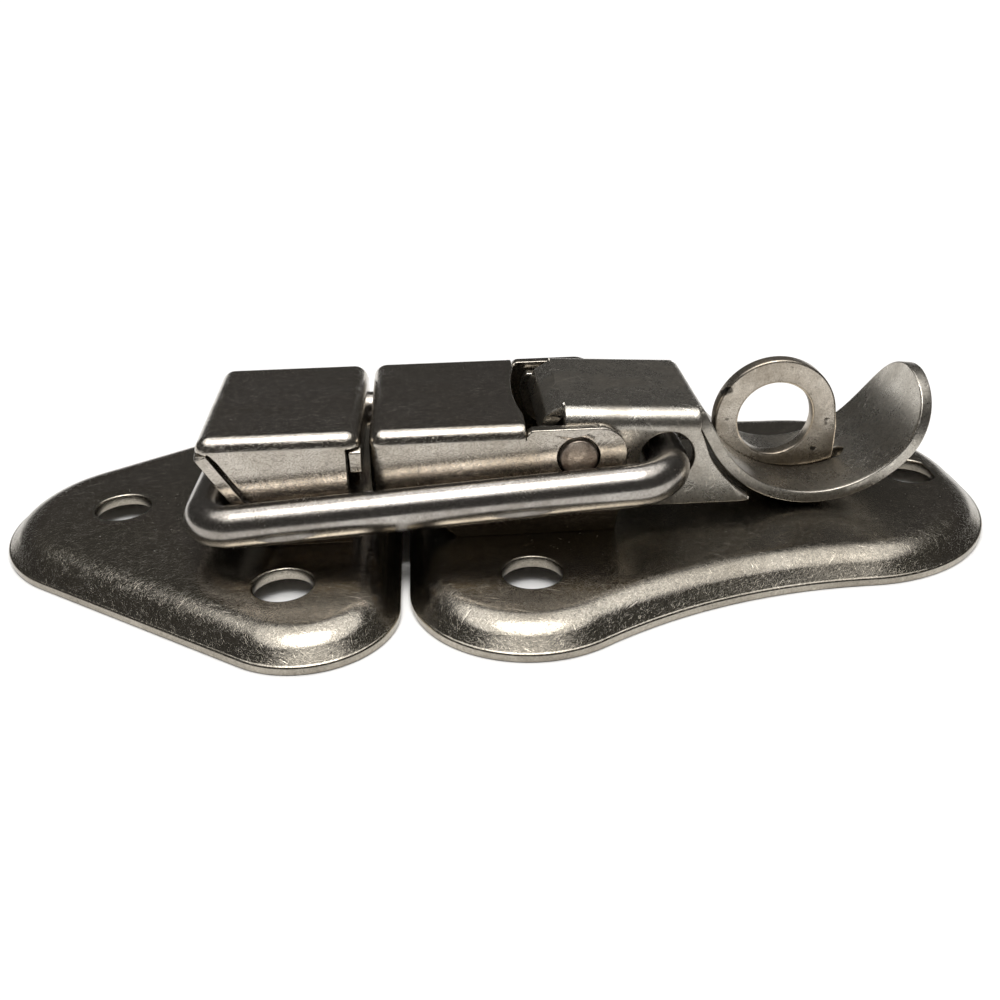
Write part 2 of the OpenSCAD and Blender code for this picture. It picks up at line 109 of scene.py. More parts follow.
def flatSurface(outline, holes, place):
    # the area inside a closed outline and outside its holes, put in space by place(u, v)
    loops = [outline] + list(holes)
    starts = np.cumsum([0] + [len(loop) for loop in loops])
    edges = []
    for start, loop in zip(starts, loops):
        n = np.arange(len(loop))
        edges += np.stack([start + n, start + (n + 1) % len(loop)], 1).tolist()
    coords = [Vector(p) for p in np.concatenate(loops).tolist()]
    found = delaunay_2d_cdt(coords, edges, [], 1, 1e-6)
    points = np.array([tuple(p) for p in found[0]])
    tris = np.array(found[2])
    middle = points[tris].mean(1)
    keep = insideLoop(outline, middle)
    for hole in holes:
        keep &= ~insideLoop(hole, middle)
    return place(points[:, 0], points[:, 1]), tris[keep].tolist()


def slabSurfaces(outline, holes, thick, edge, place):
    # a flat slab with rounded edges: each loop is carried in along a half profile,
    # inset(a) = edge (1 - cos a), depth(a) = edge (1 - sin a), then both faces are filled.
    # place(u, v, depth) puts a point in space
    turn = np.radians(np.linspace(90, 0, 6))
    inset, sunk = edge * (1 - np.cos(turn)), edge * (1 - np.sin(turn))
    inset = np.concatenate([inset, inset[::-1]])[:, None, None]
    depth = np.concatenate([sunk, thick - sunk[::-1]])[:, None]
    surfaces, loops = [], []
    for loop, inwards in [(outline, 1)] + [(hole, -1) for hole in holes]:
        tangent = unit(unit(np.roll(loop, -1, 0) - loop) + unit(loop - np.roll(loop, 1, 0)))
        area = np.sum(loop[:, 0] * np.roll(loop[:, 1], -1) - np.roll(loop[:, 0], -1) * loop[:, 1])
        normal = np.stack([-tangent[:, 1], tangent[:, 0]], 1) * np.sign(area) * inwards
        closed = np.concatenate([np.arange(len(loop)), [0]])
        carried = loop[None, closed] + inset * normal[None, closed]
        surfaces.append(gridSurface(place(carried[..., 0], carried[..., 1], depth)))
        loops.append(carried[0, :-1])
    for level in (0.0, thick):
        surfaces.append(flatSurface(loops[0], loops[1:], lambda u, v, level=level: place(u, v, level)))
    return surfaces


def makePiece(name, surfaces, material, body, nodes, up=(0, 0, 1)):
    # joins surfaces into one mesh, welds their shared edges, turns its faces outwards
    points = np.concatenate([s[0] for s in surfaces]) * mm
    faces = []
    first = 0
    for verts, quads in surfaces:
        faces += [[first + i for i in q] for q in quads]
        first += len(verts)
    mesh = bpy.data.meshes.new(name)
    mesh.from_pydata(points.tolist(), [], faces)
    work = bmesh.new()
    work.from_mesh(mesh)
    bmesh.ops.remove_doubles(work, verts=work.verts, dist=meshing["weld"] * mm)
    bmesh.ops.dissolve_degenerate(work, edges=work.edges, dist=meshing["sliver"])
    bmesh.ops.recalc_face_normals(work, faces=work.faces)
    aim = Vector(up)
    top = max(work.faces, key=lambda f: f.calc_center_median().dot(aim))
    if top.normal.dot(aim) < 0:
        bmesh.ops.reverse_faces(work, faces=work.faces)
    work.to_mesh(mesh)
    work.free()
    mesh.shade_smooth()
    mesh.materials.append(material)
    piece = bpy.data.objects.new(name, mesh)
    bpy.context.scene.collection.objects.link(piece)
    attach(piece, body)
    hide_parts(*nodes)
    print("piece", name, len(mesh.polygons), "faces")
    return piece


def finishSheet(piece, thickness=0, edge=0):
    # gives a surface the sheet's thickness on its inner side, rounds its cut edges and evens its shading
    if thickness:
        wall = piece.modifiers.new("sheet", "SOLIDIFY")
        wall.thickness = thickness * mm
        wall.offset = -1
        wall.use_even_offset = True
    if edge:
        soft = piece.modifiers.new("softEdge", "BEVEL")
        soft.width = edge * mm
        soft.segments = meshing["bevelSegments"]
        soft.limit_method = "ANGLE"
        soft.angle_limit = math.radians(meshing["bevelAngle"])
        soft.use_clamp_overlap = False
        soft.miter_outer = "MITER_ARC"
    even = piece.modifiers.new("evenShading", "WEIGHTED_NORMAL")
    even.weight = meshing["normalWeight"]
    even.keep_sharp = False


# materials: one group for aged steel, with its own values in each finish

def addNode(tree, kind, values=None, **settings):
    node = tree.nodes.new("ShaderNode" + kind)
    for key, value in settings.items():
        setattr(node, key, value)
    for key, value in (values or {}).items():
        node.inputs[key].default_value = value
    return node


def wire(tree, *pairs):
    # each pair is (output socket, input socket)
    for a, b in pairs:
        tree.links.new(a, b)


def mathNode(tree, operation, a, b=None, clamp=False):
    node = addNode(tree, "Math", operation=operation, use_clamp=clamp)
    for socket, value in zip(node.inputs, (a, b)):
        if value is None:
            continue
        if isinstance(value, (int, float)):
            socket.default_value = value
        else:
            tree.links.new(value, socket)
    return node.outputs[0]


# noise patterns, and the band of each that shows
pattern = {
    "cloud": {"Detail": 6.0, "Roughness": 0.62, "Distortion": 0.4}, "cloudBand": (0.36, 0.66),
    "fine": {"Scale": 4200.0, "Detail": 2.0, "Roughness": 0.6},
    "coarse": {"Scale": 1500.0, "Detail": 3.0, "Roughness": 0.7, "Distortion": 1.6},
    "grainShare": 0.5, "grainBand": (0.3, 0.7), "grainTone": (0.68, 1.32),
    "swirl": {"Scale": 1150.0, "Detail": 1.5, "Roughness": 0.5, "Distortion": 2.2}, "lineBand": (0.0, 0.028),
    "scratch": {"Scale": 1.0, "Detail": 1.0, "Roughness": 0.4}, "scratchBand": (0.705, 0.77),
    "scratchLean": (0.3, 0.2),
    "scratchRuns": ((0.35, (55.0, 3600.0, 900.0)), (-0.6, (80.0, 2600.0, 700.0)), (1.25, (70.0, 3000.0, 800.0))),
    "speck": {"Scale": 1100.0, "Detail": 3.0, "Roughness": 0.75}, "speckBand": (0.62, 0.74),
    "pit": {"Scale": 330.0, "Detail": 2.0, "Roughness": 0.5}, "pitBand": (0.69, 0.72),
    # the last three set the painted shade low on the walls: how its upper edge wavers, how fast it fades in, and its
    # dark brown colour
    "shadeEdgeWander": 0.002, "shadeEdgeBand": (0.0, 0.0012), "paintedShadeColor": (0.115, 0.085, 0.05, 1.0)}
# how far each mark darkens or lightens the colour, roughens the gloss and sinks into the surface
tones = {"specks": 0.75, "pits": 0.85, "crackle": 0.35, "scratches": 0.5}
roughening = {"grain": 0.22, "specks": 0.2}
depths = {"scratches": 0.6, "specks": 0.5, "pits": 2.0, "crackle": 0.5}


def steelGroup():
    # plated steel that has aged: cloudy tarnish, grain, crackle, scratches, specks and pits, with painted shade low on
    # the walls
    group = bpy.data.node_groups.new("agedSteel", "ShaderNodeTree")
    face = group.interface
    face.new_socket("Vector", in_out="INPUT", socket_type="NodeSocketVector")
    for name, value in (("Cloud Size", 90.0), ("Cloud", 0.5), ("Grain", 0.4), ("Scratches", 0.5),
                        ("Specks", 0.4), ("Pits", 0.0), ("Crackle", 0.5), ("Painted Shade Height", 0.0), ("Painted Shade", 0.0),
                        ("Low Roughness", 0.2), ("High Roughness", 0.4)):
        socket = face.new_socket(name, in_out="INPUT", socket_type="NodeSocketFloat")
        socket.default_value = value
    for name in ("Bright Color", "Dull Color"):
        face.new_socket(name, in_out="INPUT", socket_type="NodeSocketColor")
    face.new_socket("Color", in_out="OUTPUT", socket_type="NodeSocketColor")
    face.new_socket("Roughness", in_out="OUTPUT", socket_type="NodeSocketFloat")
    face.new_socket("Height", in_out="OUTPUT", socket_type="NodeSocketFloat")
    start = group.nodes.new("NodeGroupInput")
    end = group.nodes.new("NodeGroupOutput")
    given = start.outputs

    def noise(name):
        node = addNode(group, "TexNoise", pattern[name])
        wire(group, (given["Vector"], node.inputs["Vector"]))
        return node

    def ranged(value, band, to=(0.0, 1.0)):
        node = addNode(group, "MapRange", {"From Min": band[0], "From Max": band[1], "To Min": to[0], "To Max": to[1]})
        wire(group, (value, node.inputs[0]))
        return node.outputs[0]

    def combine(operation, a, b, clamp=False):
        return mathNode(group, operation, a, b, clamp)

    cloud = noise("cloud")
    wire(group, (given["Cloud Size"], cloud.inputs["Scale"]))
    clouds = combine("MULTIPLY", ranged(cloud.outputs[0], pattern["cloudBand"]), given["Cloud"])

    # grain: two noises, one coarser than the other
    fine, coarse = noise("fine"), noise("coarse")
    grain = combine("ADD", combine("MULTIPLY", fine.outputs[0], pattern["grainShare"]),
                    combine("MULTIPLY", coarse.outputs[0], pattern["grainShare"]))

    # crackle: thin worm-like lines where a swirled noise crosses its middle value
    offMiddle = combine("ABSOLUTE", combine("SUBTRACT", noise("swirl").outputs[0], 0.5), None)
    crackle = combine("MULTIPLY", ranged(offMiddle, pattern["lineBand"], (1.0, 0.0)), given["Crackle"])

    # thin scratches: noise drawn out along three slanting directions
    lines = None
    for turn, stretch in pattern["scratchRuns"]:
        spin = addNode(group, "Mapping", {"Rotation": (*pattern["scratchLean"], turn)}, vector_type="POINT")
        draw = addNode(group, "Mapping", {"Scale": stretch}, vector_type="POINT")
        line = addNode(group, "TexNoise", pattern["scratch"])
        wire(group, (given["Vector"], spin.inputs[0]), (spin.outputs[0], draw.inputs[0]),
             (draw.outputs[0], line.inputs["Vector"]))
        cut = ranged(line.outputs[0], pattern["scratchBand"])
        lines = cut if lines is None else combine("MAXIMUM", lines, cut)
    scratches = combine("MULTIPLY", lines, given["Scratches"])

    # dark specks, and a few larger pits
    specks = combine("MULTIPLY", ranged(noise("speck").outputs[0], pattern["speckBand"]), given["Specks"])
    pits = combine("MULTIPLY", ranged(noise("pit").outputs[0], pattern["pitBand"]), given["Pits"])

    # painted shade low on the walls: a dark brown band that stands in for the shade and the dim reflection of the
    # plate there, with an uneven upper edge
    heights = addNode(group, "SeparateXYZ")
    wire(group, (given["Vector"], heights.inputs[0]))
    wander = combine("MULTIPLY", combine("SUBTRACT", coarse.outputs[0], 0.5), pattern["shadeEdgeWander"])
    below = combine("SUBTRACT", given["Painted Shade Height"], combine("ADD", heights.outputs[2], wander))
    paintedShade = combine("MULTIPLY", ranged(below, pattern["shadeEdgeBand"]), given["Painted Shade"])

    # color: tarnish, then the painted shade, then the tone of marks, scratches and grain
    base = addNode(group, "Mix", data_type="RGBA")
    wire(group, (clouds, base.inputs["Factor"]), (given["Bright Color"], base.inputs["A"]),
         (given["Dull Color"], base.inputs["B"]))
    shadedColor = addNode(group, "Mix", {"B": pattern["paintedShadeColor"]}, data_type="RGBA")
    wire(group, (paintedShade, shadedColor.inputs["Factor"]), (base.outputs["Result"], shadedColor.inputs["A"]))
    marks = combine("MAXIMUM", combine("MULTIPLY", specks, tones["specks"]), combine("MULTIPLY", pits, tones["pits"]))
    marks = combine("MAXIMUM", marks, combine("MULTIPLY", crackle, tones["crackle"]))
    lift = combine("ADD", combine("SUBTRACT", 1.0, marks), combine("MULTIPLY", scratches, tones["scratches"]))
    tone = combine("MULTIPLY", lift, ranged(grain, pattern["grainBand"], pattern["grainTone"]))
    toned = addNode(group, "VectorMath", operation="SCALE")
    wire(group, (shadedColor.outputs["Result"], toned.inputs[0]), (tone, toned.inputs["Scale"]))

    rough = addNode(group, "MapRange")
    wire(group, (clouds, rough.inputs[0]), (given["Low Roughness"], rough.inputs["To Min"]),
         (given["High Roughness"], rough.inputs["To Max"]))
    roughGrain = combine("MULTIPLY", combine("SUBTRACT", grain, 0.5), roughening["grain"])
    roughAll = combine("ADD", combine("ADD", rough.outputs[0], roughGrain),
                       combine("MULTIPLY", specks, roughening["specks"]), clamp=True)

    raised = combine("SUBTRACT", combine("MULTIPLY", grain, given["Grain"]),
                     combine("MULTIPLY", scratches, depths["scratches"]))
    sunk = combine("ADD", combine("MULTIPLY", specks, depths["specks"]), combine("MULTIPLY", pits, depths["pits"]))
    height = combine("SUBTRACT", combine("SUBTRACT", raised, sunk), combine("MULTIPLY", crackle, depths["crackle"]))
    wire(group, (toned.outputs[0], end.inputs["Color"]), (roughAll, end.inputs["Roughness"]),
         (height, end.inputs["Height"]))
    return group


def steelMaterial(name, group, finish):
    material = bpy.data.materials.new(name)
    material.use_nodes = True
    tree = material.node_tree
    shader = tree.nodes["Principled BSDF"]
    shader.inputs["Metallic"].default_value = 1.0
    coords = addNode(tree, "TexCoord")
    aged = tree.nodes.new("ShaderNodeGroup")
    aged.node_tree = group
    for key, value in finish["steel"].items():
        aged.inputs[key].default_value = value
    bump = addNode(tree, "Bump", {"Strength": finish["bump"], "Distance": finish["depth"] * mm})
    wire(tree, (coords.outputs["Object"], aged.inputs["Vector"]), (aged.outputs["Color"], shader.inputs["Base Color"]),
         (aged.outputs["Roughness"], shader.inputs["Roughness"]), (aged.outputs["Height"], bump.inputs["Height"]),
         (bump.outputs[0], shader.inputs["Normal"]))
    return material


def color(r, g, b):
    return (r, g, b, 1.0)


steel = steelGroup()
plateFinish = {"bump": 0.65, "depth": 0.033, "steel": {
    "Cloud Size": 60.0, "Cloud": 0.9, "Grain": 0.85, "Scratches": 0.55, "Specks": 0.45, "Crackle": 0.5,
    "Low Roughness": 0.13, "High Roughness": 0.25,
    "Bright Color": color(0.44, 0.405, 0.345), "Dull Color": color(0.25, 0.225, 0.185)}}
# hook and housing: painted shade darkens and browns their walls below 9.8 mm
foldFinish = {"bump": 0.7, "depth": 0.028, "steel": {
    "Cloud Size": 110.0, "Cloud": 0.8, "Grain": 0.7, "Scratches": 0.5, "Specks": 0.4, "Crackle": 0.6,
    "Painted Shade Height": 0.0098, "Painted Shade": 0.85, "Low Roughness": 0.13, "High Roughness": 0.24,
    "Bright Color": color(0.52, 0.48, 0.425), "Dull Color": color(0.34, 0.305, 0.25)}}
leverFinish = {"bump": 0.7, "depth": 0.03, "steel": {
    "Cloud Size": 150.0, "Cloud": 0.85, "Grain": 0.65, "Scratches": 0.7, "Specks": 0.45, "Crackle": 0.4,
    "Low Roughness": 0.24, "High Roughness": 0.36,
    "Bright Color": color(0.56, 0.53, 0.475), "Dull Color": color(0.32, 0.29, 0.245)}}
# eye: painted shade darkens and browns its lower part, below 8.5 mm
eyeFinish = {"bump": 0.55, "depth": 0.035, "steel": {
    "Cloud Size": 170.0, "Cloud": 0.9, "Grain": 0.5, "Scratches": 0.4, "Specks": 0.7, "Pits": 1.0, "Crackle": 0.2,
    "Painted Shade Height": 0.0085, "Painted Shade": 0.6, "Low Roughness": 0.24, "High Roughness": 0.4,
    "Bright Color": color(0.55, 0.50, 0.43), "Dull Color": color(0.31, 0.265, 0.21)}}
rivetFinish = {"bump": 0.8, "depth": 0.045, "steel": {
    "Cloud Size": 600.0, "Cloud": 1.0, "Grain": 0.6, "Scratches": 0.9, "Specks": 0.7,
    "Low Roughness": 0.3, "High Roughness": 0.45,
    "Bright Color": color(0.38, 0.33, 0.28), "Dull Color": color(0.17, 0.13, 0.105)}}
wireFinish = {"bump": 0.4, "depth": 0.018, "steel": {
    "Cloud Size": 140.0, "Cloud": 0.9, "Grain": 0.7, "Scratches": 0.4, "Specks": 0.3, "Crackle": 0.35,
    "Low Roughness": 0.16, "High Roughness": 0.28,
    "Bright Color": color(0.44, 0.415, 0.385), "Dull Color": color(0.27, 0.245, 0.215)}}
plateSteel = steelMaterial("plateSteel", steel, plateFinish)
foldedSteel = steelMaterial("foldedSteel", steel, foldFinish)
leverSteel = steelMaterial("leverSteel", steel, leverFinish)
eyeSteel = steelMaterial("eyeSteel", steel, eyeFinish)
rivetSteel = steelMaterial("rivetSteel", steel, rivetFinish)
wireSteel = steelMaterial("wireSteel", steel, wireFinish)
print("materials made")


# the two plates: an outline of arcs, carried in along the rim's profile
plate = {"rimSlope": 42.0, "shoulder": 5.0, "edge": 0.9, "sheet": 1.6, "footRound": 0.35, "footStart": 96.0,
         "heelRound": 0.18, "holeRound": 0.3, "holeRadius": 3.55, "keeperCorner": 11.1, "keeperPoint": 17.3,
         "latchCorner": 14.1, "lobe": 20.9, "lobeWidth": 45.8, "waist": 64.0, "pointStep": 0.45,
         "leastPoints": 4, "shoulderPoints": 15, "footSteps": 6, "heelSteps": 4, "lipSteps": (5, 4),
         "holeSteps": 72}


def outlineOf(circles):
    # arcs in order round the plate, each joined to the next by the line that touches both;
    # a hollow arc has a negative radius. Gives points, and the outward normal at each
    outs = []
    for (x1, y1, r1), (x2, y2, r2) in zip(circles, circles[1:] + circles[:1]):
        apart = math.hypot(x2 - x1, y2 - y1)
        lean = math.acos(max(-1.0, min(1.0, (r1 - r2) / apart)))
        outs.append(math.atan2(y2 - y1, x2 - x1) - lean)
    points, normals = [], []
    for (x, y, r), a, b in zip(circles, outs[-1:] + outs[:-1], outs):
        sweep = (b - a) % (2 * math.pi) if r > 0 else -((a - b) % (2 * math.pi))
        count = max(plate["leastPoints"], int(abs(r * sweep) / plate["pointStep"]))
        angle = np.linspace(a, a + sweep, count)
        normal = np.stack([np.cos(angle), np.sin(angle)], 1)
        points.append(np.array([x, y]) + r * normal)
        normals.append(normal)
    return np.concatenate(points), np.concatenate(normals)


def rimProfile(top):
    # (inset, height) from the flat top, over the shoulder and down the slope, round the foot and the heel,
    # and up inside the hollow
    slope = math.radians(plate["rimSlope"])
    run = (top - plate["edge"]) / math.tan(slope) + plate["shoulder"] * math.tan(slope / 2)
    turn = np.linspace(0, slope, plate["shoulderPoints"])
    over = np.stack([run - plate["shoulder"] * np.sin(turn), top - plate["shoulder"] * (1 - np.cos(turn))], 1)
    soft, heel = plate["footRound"], plate["heelRound"]
    knee = soft * math.tan(math.pi / 4 - slope / 2)
    footArc = arc(soft, plate["edge"] - knee, soft, plate["footStart"], 180, plate["footSteps"])
    heelArc = arc(heel, heel, heel, 180, 270, plate["heelSteps"])
    under = plate["sheet"] / math.sin(slope) - plate["edge"] / math.tan(slope)
    rise = top - plate["sheet"]
    inside = np.array([[under, 0.0], [under + rise / math.tan(slope), rise]])
    return np.concatenate([over, footArc, heelArc, inside])


def plateSurfaces(circles, screws, top):
    # rim: point(p, o) = outline(o) - inset(p) normal(o), at height(p). Screw hole: its lips' profile,
    # turned about the hole's middle. Both flats are filled between the rim and the holes
    points, normals = outlineOf(circles)
    points = np.concatenate([points, points[:1]])
    normals = np.concatenate([normals, normals[:1]])
    profile = rimProfile(top)
    flat = points[None] - profile[:, :1, None] * normals[None]
    surfaces = [gridSurface(spread(flat[..., 0], flat[..., 1], profile[:, 1:]))]
    soft, low = plate["holeRound"], top - plate["sheet"]
    lip = plate["holeRadius"] + soft
    wall = np.concatenate([arc(lip, top - soft, soft, 90, 180, plate["lipSteps"][0]),
                           arc(lip, low + soft, soft, 180, 270, plate["lipSteps"][1])])
    angle = np.linspace(0, 2 * math.pi, plate["holeSteps"] + 1)
    holes = []
    for x, y in screws:
        tube = spread(x + wall[:, :1] * np.cos(angle), y + wall[:, :1] * np.sin(angle), wall[:, 1:])
        surfaces.append(gridSurface(tube))
        holes.append(tube[0, :-1, :2])
    for inset, z in ((profile[0, 0], top), (profile[-1, 0], low)):
        edge = (points - inset * normals)[:-1]
        surfaces.append(flatSurface(edge, holes, lambda u, v, z=z: spread(u, v, z)))
    return surfaces


def screwPlaces(*names):
    # where the mounts put the screws of one plate
    places = []
    for mount in frame["record"]["mounts"]:
        if mount["name"] in names:
            x, y = mount["pos_m"][0] / mm, mount["pos_m"][1] / mm
            half = mount["dims"].get("spacing_y_mm", 0) / 2
            places += [(x, y - half), (x, y + half)] if half else [(x, y)]
    return places


keeperLow, keeperHigh = cadBox("keeper_plate")
latchLow, latchHigh = cadBox("latch_plate")
plateTop = keeperHigh[2]
halfWidth = keeperHigh[1]
cornerX = keeperHigh[0] - plate["keeperCorner"]
cornerY = halfWidth - plate["keeperCorner"]
pointX = keeperLow[0] + plate["keeperPoint"]
keeperCircles = [(cornerX, -cornerY, plate["keeperCorner"]), (cornerX, cornerY, plate["keeperCorner"]),
                 (pointX, 0.0, plate["keeperPoint"])]
keeperScrews = screwPlaces("keeper_screws", "keeper_end_screw")
keeperPlate = makePiece("keeperPlate", plateSurfaces(keeperCircles, keeperScrews, plateTop), plateSteel,
                        "base", ["keeper_plate"])
finishSheet(keeperPlate)

innerX = latchLow[0] + plate["latchCorner"]
innerY = halfWidth - plate["latchCorner"]
lobeX = latchHigh[0] - plate["lobe"]
lobeY = plate["lobeWidth"] / 2 - plate["lobe"]
# the waist arc touches a corner and the round end
runX, runY = lobeX - innerX, innerY - lobeY
reach = math.hypot(runX, runY)
sideA, sideB = plate["latchCorner"] + plate["waist"], plate["lobe"] + plate["waist"]
along = (reach**2 + sideA**2 - sideB**2) / (2 * reach)
aside = math.sqrt(sideA**2 - along**2)
waistX = innerX + (runX * along + runY * aside) / reach
waistY = innerY + (runX * aside - runY * along) / reach
latchCircles = [(innerX, innerY, plate["latchCorner"]), (innerX, -innerY, plate["latchCorner"]),
                (waistX, -waistY, -plate["waist"]), (lobeX, -lobeY, plate["lobe"]),
                (lobeX, lobeY, plate["lobe"]), (waistX, waistY, -plate["waist"])]
latchScrews = screwPlaces("latch_screws", "latch_end_screw")
latchPlate = makePiece("latchPlate", plateSurfaces(latchCircles, latchScrews, plateTop), plateSteel,
                       "base", ["latch_plate"])
finishSheet(latchPlate)


# folded sheet: a top whose edges turn down, with round corners
foldSteps = 14
dips = np.linspace(0, 90, foldSteps + 1)


def corner(x, y, z, way, radius, turns):
    # ball corner between an end fold and a long fold, on the side that y is on; way is -1 or 1 along X:
    # direction(turn, dip) = (way sin turn cos dip, side sin dip, cos turn cos dip)
    turn, dip = np.radians(turns)[:, None], np.radians(dips)
    direction = spread(way * np.sin(turn) * np.cos(dip), np.sign(y) * np.sin(dip), np.cos(turn) * np.cos(dip))
    return gridSurface(np.array([x, y, z]) + radius * direction)


def longFold(along, side, flatHalf, middle, r):
    # quarter round along the latch: point(dip, x) = (x, side (flatHalf + r sin dip), middle + r cos dip)
    dip = np.radians(dips)[:, None]
    return gridSurface(spread(along, side * (flatHalf + r * np.sin(dip)), middle + r * np.cos(dip)))


def spanAcross(path, halfWidths, columns):
    # a side view (x, z) carried across the latch: point(p, c) = (x(p), halfWidth(p) c, z(p))
    return spread(path[:, :1], np.asarray(halfWidths)[:, None] * columns, path[:, 1:])


hook = {"sheet": 1.5, "fold": 1.8, "lean": 31.0, "flap": 4.8, "foot": 7.4, "edge": 0.16, "seamStart": 0.2,
        "seamRun": 0.5, "seamWidth": 0.35, "flareTurn": 14.0, "flareDrop": 0.45, "leanSteps": 8,
        "faceRows": (0.6, 1.2, 3, 6, 9), "flapRows": (0.1, 0.25, 0.45, 1.2), "wallRows": 14, "alongPoints": 20,
        "columns": 25}
hookLow, hookHigh = cadBox("keeper_hook")


def hookSurfaces():
    # catching face, fold, top, fold and end flap are one side view carried across; each side then has
    # its long fold, two ball corners, a wall down to the foot, and the foot folded inwards
    r = hook["fold"]
    cz = hookHigh[2] - r
    full = hookHigh[1]
    flatHalf = full - r
    xl, xr = hookLow[0] + r, hookHigh[0] - r
    foot = hookLow[2]
    lean = math.radians(hook["lean"])
    leftTurns = np.concatenate([np.linspace(90 + hook["lean"], 90, hook["leanSteps"] + 1), 90 - dips[1:]])
    leftFold = np.stack([xl - r * np.sin(np.radians(leftTurns)), cz + r * np.cos(np.radians(leftTurns))], 1)
    rightFold = np.stack([xr + r * np.sin(np.radians(dips)), cz + r * np.cos(np.radians(dips))], 1)
    down = np.array([*hook["faceRows"], (leftFold[0, 1] - foot) / math.cos(lean)])
    catchFace = leftFold[0] + down[::-1, None] * np.array([[math.sin(lean), -math.cos(lean)]])
    drop = np.array([*hook["flapRows"], hook["flap"] - r])
    flap = rightFold[-1] - drop[:, None] * np.array([[0.0, 1.0]])
    across = np.linspace(xl, xr, hook["alongPoints"])
    top = np.stack([across[1:-1], across[1:-1] * 0 + cz + r], 1)

    def flare(share):
        # from the flat top's half width to the full one, along a square root
        return flatHalf + (full - flatHalf) * np.clip(share, 0, 1) ** 0.5

    path = np.concatenate([catchFace, leftFold, top, rightFold, flap])
    widths = np.concatenate([np.full(len(catchFace), full), flare((leftTurns - 90) / hook["flareTurn"]),
                             np.full(len(top) + len(rightFold), flatHalf), flare(drop / hook["flareDrop"])])
    surfaces = [gridSurface(spanAcross(path, widths, np.linspace(-1, 1, hook["columns"])))]
    # the wall's left edge leans with the catching face, and leaves a dark seam beside it
    heights = np.linspace(cz, foot, hook["wallRows"])
    fall = cz - heights
    leftEdge = xl + np.maximum(0, fall - hook["seamStart"]) * math.tan(lean) \
        + np.minimum(1, fall / hook["seamRun"]) * hook["seamWidth"]
    wallX = leftEdge[:, None] + (xr - leftEdge)[:, None] * np.linspace(0, 1, hook["alongPoints"])
    inward = np.array([[full], [full - hook["foot"]]])
    for side in (-1, 1):
        surfaces += [longFold(across, side, flatHalf, cz, r),
                     gridSurface(spread(wallX, side * full, heights[:, None])),
                     gridSurface(spread(wallX[-1], side * inward, foot)),
                     corner(xl, side * flatHalf, cz, -1, r, leftTurns[leftTurns < 91]),
                     corner(xr, side * flatHalf, cz, 1, r, dips)]
    return surfaces


hookPiece = makePiece("keeperHook", hookSurfaces(), foldedSteel, "base", ["keeper_hook"])
finishSheet(hookPiece, hook["sheet"], hook["edge"])


housing = {"sheet": 1.5, "fold": 1.8, "topLength": 18.8, "cutRadius": 40.0, "cutDepth": 0.8, "earDrop": 0.4,
           "earInset": 1.0, "earRound": 3.4, "earStraight": 2.0, "headHole": 2.55, "footRise": 1.4,
           "footStart": 6.1, "footSlant": 1.5, "footIn": 1.2, "foot": 7.4, "edge": 0.16, "wallRows": 10,
           "alongPoints": 22, "columns": 33, "insetSteps": 6, "earSteps": 16, "holeSteps": 48}
houseLow, houseHigh = cadBox("housing")
pivot = placeOf(frame["joints"], "lever_pivot")


def housingSurfaces():
    # end wall, fold and top are one side view carried across; each side then has its long fold, a ball
    # corner on a round post, and one flat outline for the wall and the ear, with its foot folded inwards
    r = housing["fold"]
    cz = houseHigh[2] - r
    full = houseHigh[1]
    flatHalf = full - r
    xl = houseLow[0] + r
    topEnd = houseLow[0] + housing["topLength"]
    earEnd = houseHigh[0]
    foot = houseLow[2]
    turns = 90 - dips
    fold = np.stack([xl - r * np.sin(np.radians(turns)), cz + r * np.cos(np.radians(turns))], 1)
    wallFoot = foot + housing["footRise"]
    heights = np.linspace(cz, wallFoot, housing["wallRows"])
    rising = heights[:0:-1]
    lower = np.concatenate([np.stack([rising * 0 + houseLow[0], rising], 1), fold])
    columns = np.linspace(-1, 1, housing["columns"])
    body = spanAcross(lower, np.full(len(lower), flatHalf), columns)
    across = np.linspace(xl, topEnd, housing["alongPoints"])
    # the top's open end is cut back along a shallow round
    edgeX = topEnd - housing["cutDepth"] + housing["cutRadius"] - np.sqrt(
        housing["cutRadius"]**2 - (columns * flatHalf) ** 2)
    edgeX = np.minimum(edgeX, topEnd)
    share = np.linspace(0, 1, housing["alongPoints"])[1:, None]
    top = spread(xl + (edgeX - xl) * share, columns * flatHalf, houseHigh[2])
    surfaces = [gridSurface(np.concatenate([body, top]))]
    # wall and ear in one flat outline, with the hole that the rivet's head sits in
    earTop = houseHigh[2] - housing["earDrop"]
    inset, round = housing["earInset"], housing["earRound"]
    footLeft = latchLow[0] + housing["footStart"]
    footRight = earEnd - housing["footIn"]
    outline = chain(np.stack([across, across * 0 + cz], 1),
                    arc(topEnd + inset, earTop - inset, inset, 180, 90, housing["insetSteps"]),
                    arc(earEnd - round, earTop - round, round, 90, 0, housing["earSteps"]),
                    [[earEnd, pivot[2] - housing["earStraight"]], [footRight, foot], [footLeft, foot],
                     [footLeft - housing["footSlant"], wallFoot]],
                    np.stack([rising * 0 + xl, rising], 1))
    rivetHole = arc(pivot[0], pivot[2], housing["headHole"], 0, 360, housing["holeSteps"])[:-1]
    bend = np.radians(dips)
    for side in (-1, 1):
        # the post is the ball corner's lower edge carried straight down
        post = spread(xl - r * np.cos(bend), side * (flatHalf + r * np.sin(bend)), heights[:, None])
        inward = side * np.array([[full], [full - housing["foot"]]])
        surfaces += [longFold(across, side, flatHalf, cz, r), gridSurface(post),
                     corner(xl, side * flatHalf, cz, -1, r, turns),
                     flatSurface(outline, [rivetHole], lambda u, v, side=side: spread(u, side * full, v)),
                     gridSurface(spread(np.array([footLeft, footRight]), inward, foot))]
    return surfaces


housingPiece = makePiece("housing", housingSurfaces(), foldedSteel, "base", ["housing"])
finishSheet(housingPiece, housing["sheet"], housing["edge"])


